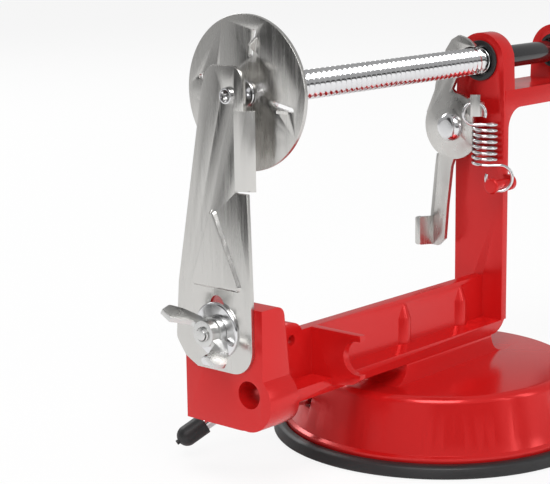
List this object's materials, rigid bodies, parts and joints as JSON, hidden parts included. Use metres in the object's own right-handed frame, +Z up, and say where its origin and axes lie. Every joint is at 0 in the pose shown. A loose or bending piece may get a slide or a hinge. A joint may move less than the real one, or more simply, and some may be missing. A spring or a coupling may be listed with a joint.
{
  "type": "hand cranked spiral vegetable cutter",
  "caption": "Suction-based spiral vegetable cutter: crank, feed screw with quick-release half nut, pusher disc, and a slotted blade held by a wing nut.",
  "frame": {"origin": "centre of the suction cup's underside, on the table", "axes": "+X along the feed screw towards the crank, +Y to the side with the suction lever, +Z up"},
  "size_m": [0.289, 0.124, 0.1625],
  "materials": {
    "red_enamel": "gloss",
    "zinc_plate": "satin",
    "black_rubber": "satin",
    "bright_steel": "polished",
    "black_plastic": "gloss",
    "chrome_screw": "polished",
    "stainless": "polished",
    "lever_steel": "satin"
  },
  "bodies": {
    "frame": {"frame_casting": "red_enamel", "front_eye": "red_enamel", "rear_eye": "red_enamel", "base_housing": "red_enamel", "base_plate": "zinc_plate", "plate_screws": "zinc_plate", "frame_screws": "zinc_plate", "suction_cup": "black_rubber", "front_bush": "black_plastic", "rear_bush": "black_plastic", "blade_plate": "stainless", "core_tube": "stainless", "blade_bolt": "zinc_plate", "blade_washer": "bright_steel", "locating_key": "bright_steel", "pivot_screw": "bright_steel", "release_spring": "bright_steel"},
    "stud": {"cup_stud": "zinc_plate", "cross_pin": "bright_steel"},
    "suction_lever": {"cam_ring": "black_plastic", "lever_rod": "bright_steel", "lever_cap": "black_rubber"},
    "sleeve": {"shaft_sleeve": "black_plastic"},
    "screw": {"lead_screw": "chrome_screw", "pusher_disc": "stainless", "disc_hub": "bright_steel", "crank_arm": "chrome_screw", "crank_nut": "chrome_screw", "knob_pin": "bright_steel"},
    "knob": {"crank_knob": "black_plastic"},
    "wing_nut": {"wing_nut": "zinc_plate"},
    "release": {"release_lever": "lever_steel"}
  },
  "joints": [
    {"name": "screw_feed", "type": "slide", "parent": "frame", "child": "sleeve", "axis": [1, 0, 0], "range_m": [-0.0014, 0.1074]},
    {"name": "screw_turn", "type": "hinge", "parent": "sleeve", "child": "screw", "pos_m": [0, 0, 0.1372], "axis": [1, 0, 0], "range_deg": [-180, 14040]},
    {"name": "knob_spin", "type": "hinge", "parent": "screw", "child": "knob", "pos_m": [0.12, 0, 0.0622], "axis": [1, 0, 0], "continuous": true},
    {"name": "wing_nut_turn", "type": "hinge", "parent": "frame", "child": "wing_nut", "pos_m": [-0.116, 0.0065, 0.0595], "axis": [1, 0, 0], "continuous": true},
    {"name": "release_swing", "type": "hinge", "parent": "frame", "child": "release", "pos_m": [0.021, 0.0078, 0.1123], "axis": [1, 0, 0], "range_deg": [-14, 0], "stiffness_Nm_per_rad": 0.1, "springref_deg": 40.11, "deforming": ["release_spring"]},
    {"name": "suction_lever_turn", "type": "hinge", "parent": "frame", "child": "suction_lever", "pos_m": [0, 0, 0.0177], "axis": [0, 0, 1], "range_deg": [-60, 0]},
    {"name": "stud_lift", "type": "slide", "parent": "frame", "child": "stud", "axis": [0, 0, 1], "range_m": [0, 0.0026]}
  ],
  "couplings": [
    {"joint": "screw_feed", "follows": "screw_turn", "m_per_rad": 0.00043768},
    {"joint": "stud_lift", "follows": "suction_lever_turn", "m_per_rad": -0.00248}
  ]
}
